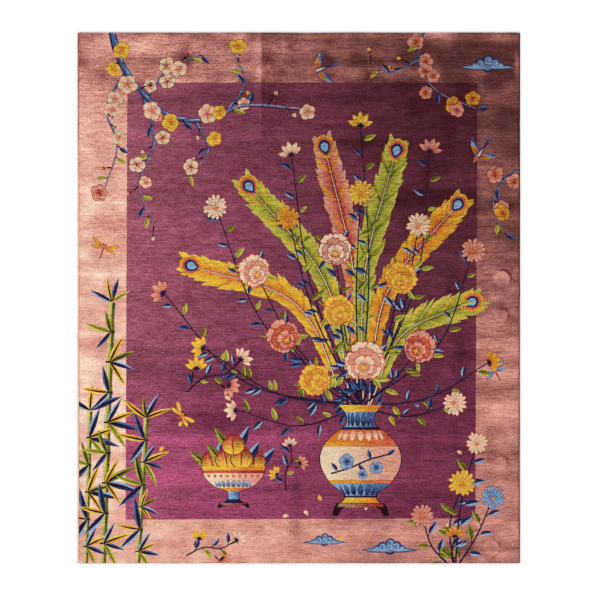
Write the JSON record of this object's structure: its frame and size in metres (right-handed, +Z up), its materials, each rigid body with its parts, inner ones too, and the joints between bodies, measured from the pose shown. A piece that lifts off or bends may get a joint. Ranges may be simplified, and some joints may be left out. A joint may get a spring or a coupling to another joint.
{
  "type": "hand-knotted wool pile rug",
  "caption": "Flat rectangular room-size rug of knotted wool pile, with a sewn cord along each long edge; lies pile up on a floor.",
  "frame": {"origin": "at floor level under the middle of the rug's outline, on the plane it rests on", "axes": "+Z up out of the pile; +Y along the warps to the top end; +X to the right-hand side cord"},
  "size_m": [2.44, 2.926, 0.012],
  "materials": {
    "pile_wool": "cut wool pile, soft sheen, plum field and faded rose border",
    "left_cord_yarn": "matt overcast wool yarn, rose brown",
    "right_cord_yarn": "matt overcast wool yarn, dark plum, paler toward the bottom end"
  },
  "bodies": {
    "root": {"carpet": "pile_wool", "selvedge_left": "left_cord_yarn", "selvedge_right": "right_cord_yarn"}
  },
  "joints": []
}
